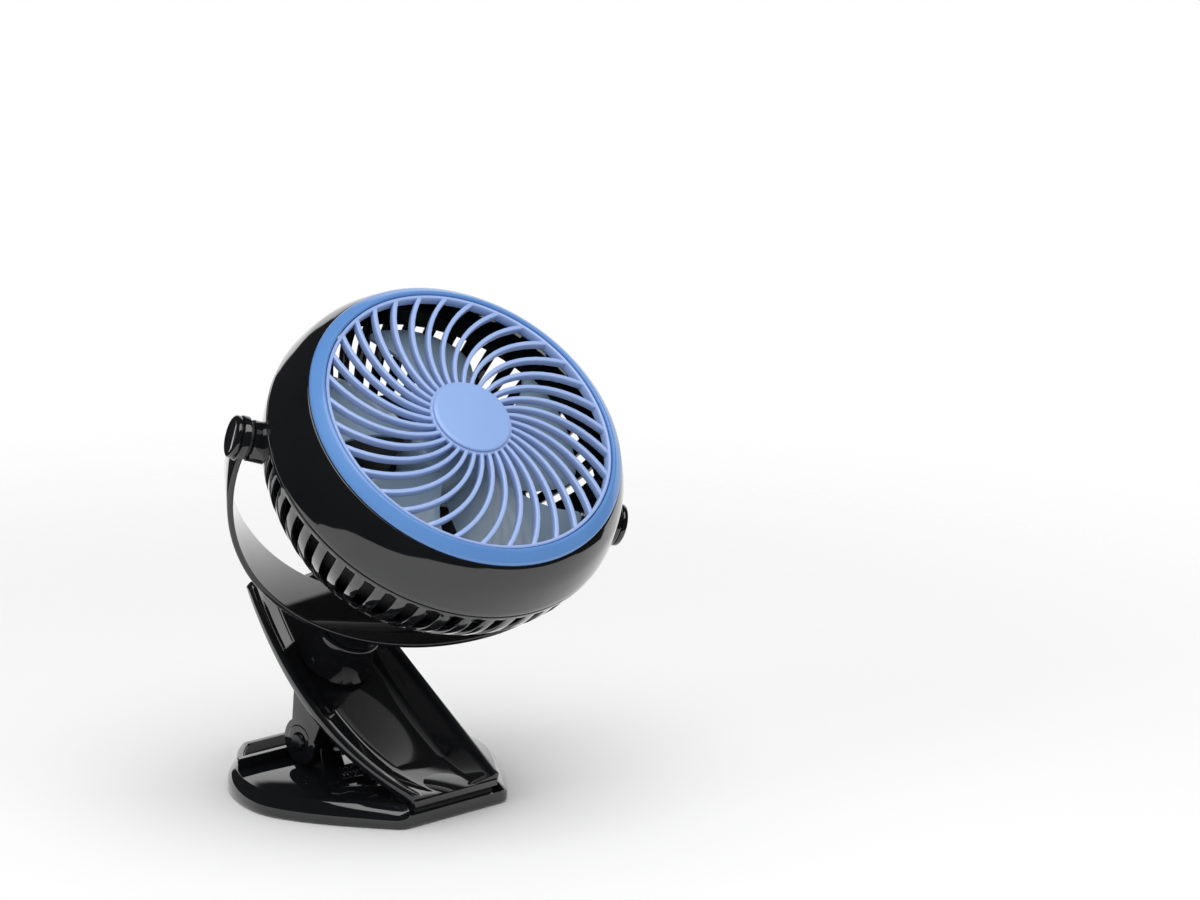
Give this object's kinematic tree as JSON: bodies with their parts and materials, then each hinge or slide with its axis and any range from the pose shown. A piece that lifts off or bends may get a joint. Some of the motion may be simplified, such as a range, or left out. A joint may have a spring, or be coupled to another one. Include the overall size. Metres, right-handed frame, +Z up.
{
  "type": "clip-on desk fan",
  "caption": "Sprung clip with a round foot that carries a swivelling yoke and a tilting round fan head with a swirl grille and a slotted rear cover.",
  "frame": {"origin": "on the standing surface, under the centre of the foot's arc", "axes": "+Z up; +X across the width, along the clip's hinge pin; -Y towards the clip's mouth, the side the foot's straight edge is on"},
  "size_m": [0.1344, 0.1484, 0.1838],
  "materials": {
    "black_gloss": "polished",
    "black_matt": "fine grain",
    "rubber_dark": "matt",
    "bezel_blue": "satin gloss",
    "grille_blue": "satin gloss",
    "cap_blue": "satin gloss",
    "blade_white": "satin, slightly cloudy",
    "steel": "bright",
    "nylon": "plain",
    "cell_wrap": "shrunk film",
    "board_green": "lacquered",
    "led_clear": "clear"
  },
  "bodies": {
    "foot": {"foot_shell": "black_gloss", "foot_plate": "black_matt", "foot_pad": "rubber_dark", "lower_jaw_pad": "rubber_dark", "finger_pad": "rubber_dark", "hinge_pin": "steel", "pin_clip": "steel", "clip_spring": "steel", "foot_screw_1": "steel", "foot_screw_2": "steel", "foot_screw_3": "steel"},
    "arm": {"arm_shell": "black_gloss", "upper_jaw_pad": "rubber_dark"},
    "yoke": {"yoke_strap": "black_gloss", "swivel_screw": "steel", "swivel_washer": "nylon", "knob_cap_right": "black_gloss", "knob_cap_left": "black_gloss"},
    "head": {"front_shell": "black_gloss", "rear_cover": "black_gloss", "front_bezel": "bezel_blue", "front_grille": "grille_blue", "hub_cap": "cap_blue", "motor_plate": "black_matt", "motor_can": "steel", "motor_end_cap": "nylon", "battery_cell": "cell_wrap", "circuit_board": "board_green", "touch_switch": "black_matt", "usb_socket": "steel", "led_lens": "led_clear", "rear_panel": "black_matt", "pivot_screw_right": "steel", "pivot_screw_left": "steel", "pivot_washer_right": "nylon", "pivot_washer_left": "nylon", "plate_screw_1": "steel", "plate_screw_2": "steel", "plate_screw_3": "steel"},
    "fan": {"impeller": "blade_white", "motor_shaft": "steel"},
    "button": {"power_button": "black_matt"}
  },
  "joints": [
    {"name": "clip_hinge", "type": "hinge", "parent": "foot", "child": "arm", "pos_m": [0, 0.014, 0.0177], "axis": [-1, 0, 0], "range_deg": [0, 32], "stiffness_Nm_per_rad": 1, "springref_deg": -20.05, "deforming": ["clip_spring"]},
    {"name": "yoke_swivel", "type": "hinge", "parent": "arm", "child": "yoke", "pos_m": [0, 0.01231, 0.05606], "axis": [0, -0.5621, 0.8271], "range_deg": [-150, 210]},
    {"name": "head_tilt", "type": "hinge", "parent": "yoke", "child": "head", "pos_m": [0, -0.03018, 0.11859], "axis": [0.866, -0.4135, -0.281], "range_deg": [-170, 190]},
    {"name": "fan_spin", "type": "hinge", "parent": "head", "child": "fan", "pos_m": [0, -0.03018, 0.11859], "axis": [-0.0868, -0.6779, 0.73], "continuous": true},
    {"name": "power_press", "type": "slide", "parent": "head", "child": "button", "axis": [-0.0868, -0.6779, 0.73], "range_m": [0, 0.0012], "stiffness_N_per_m": 500, "springref_m": -0.0006}
  ]
}
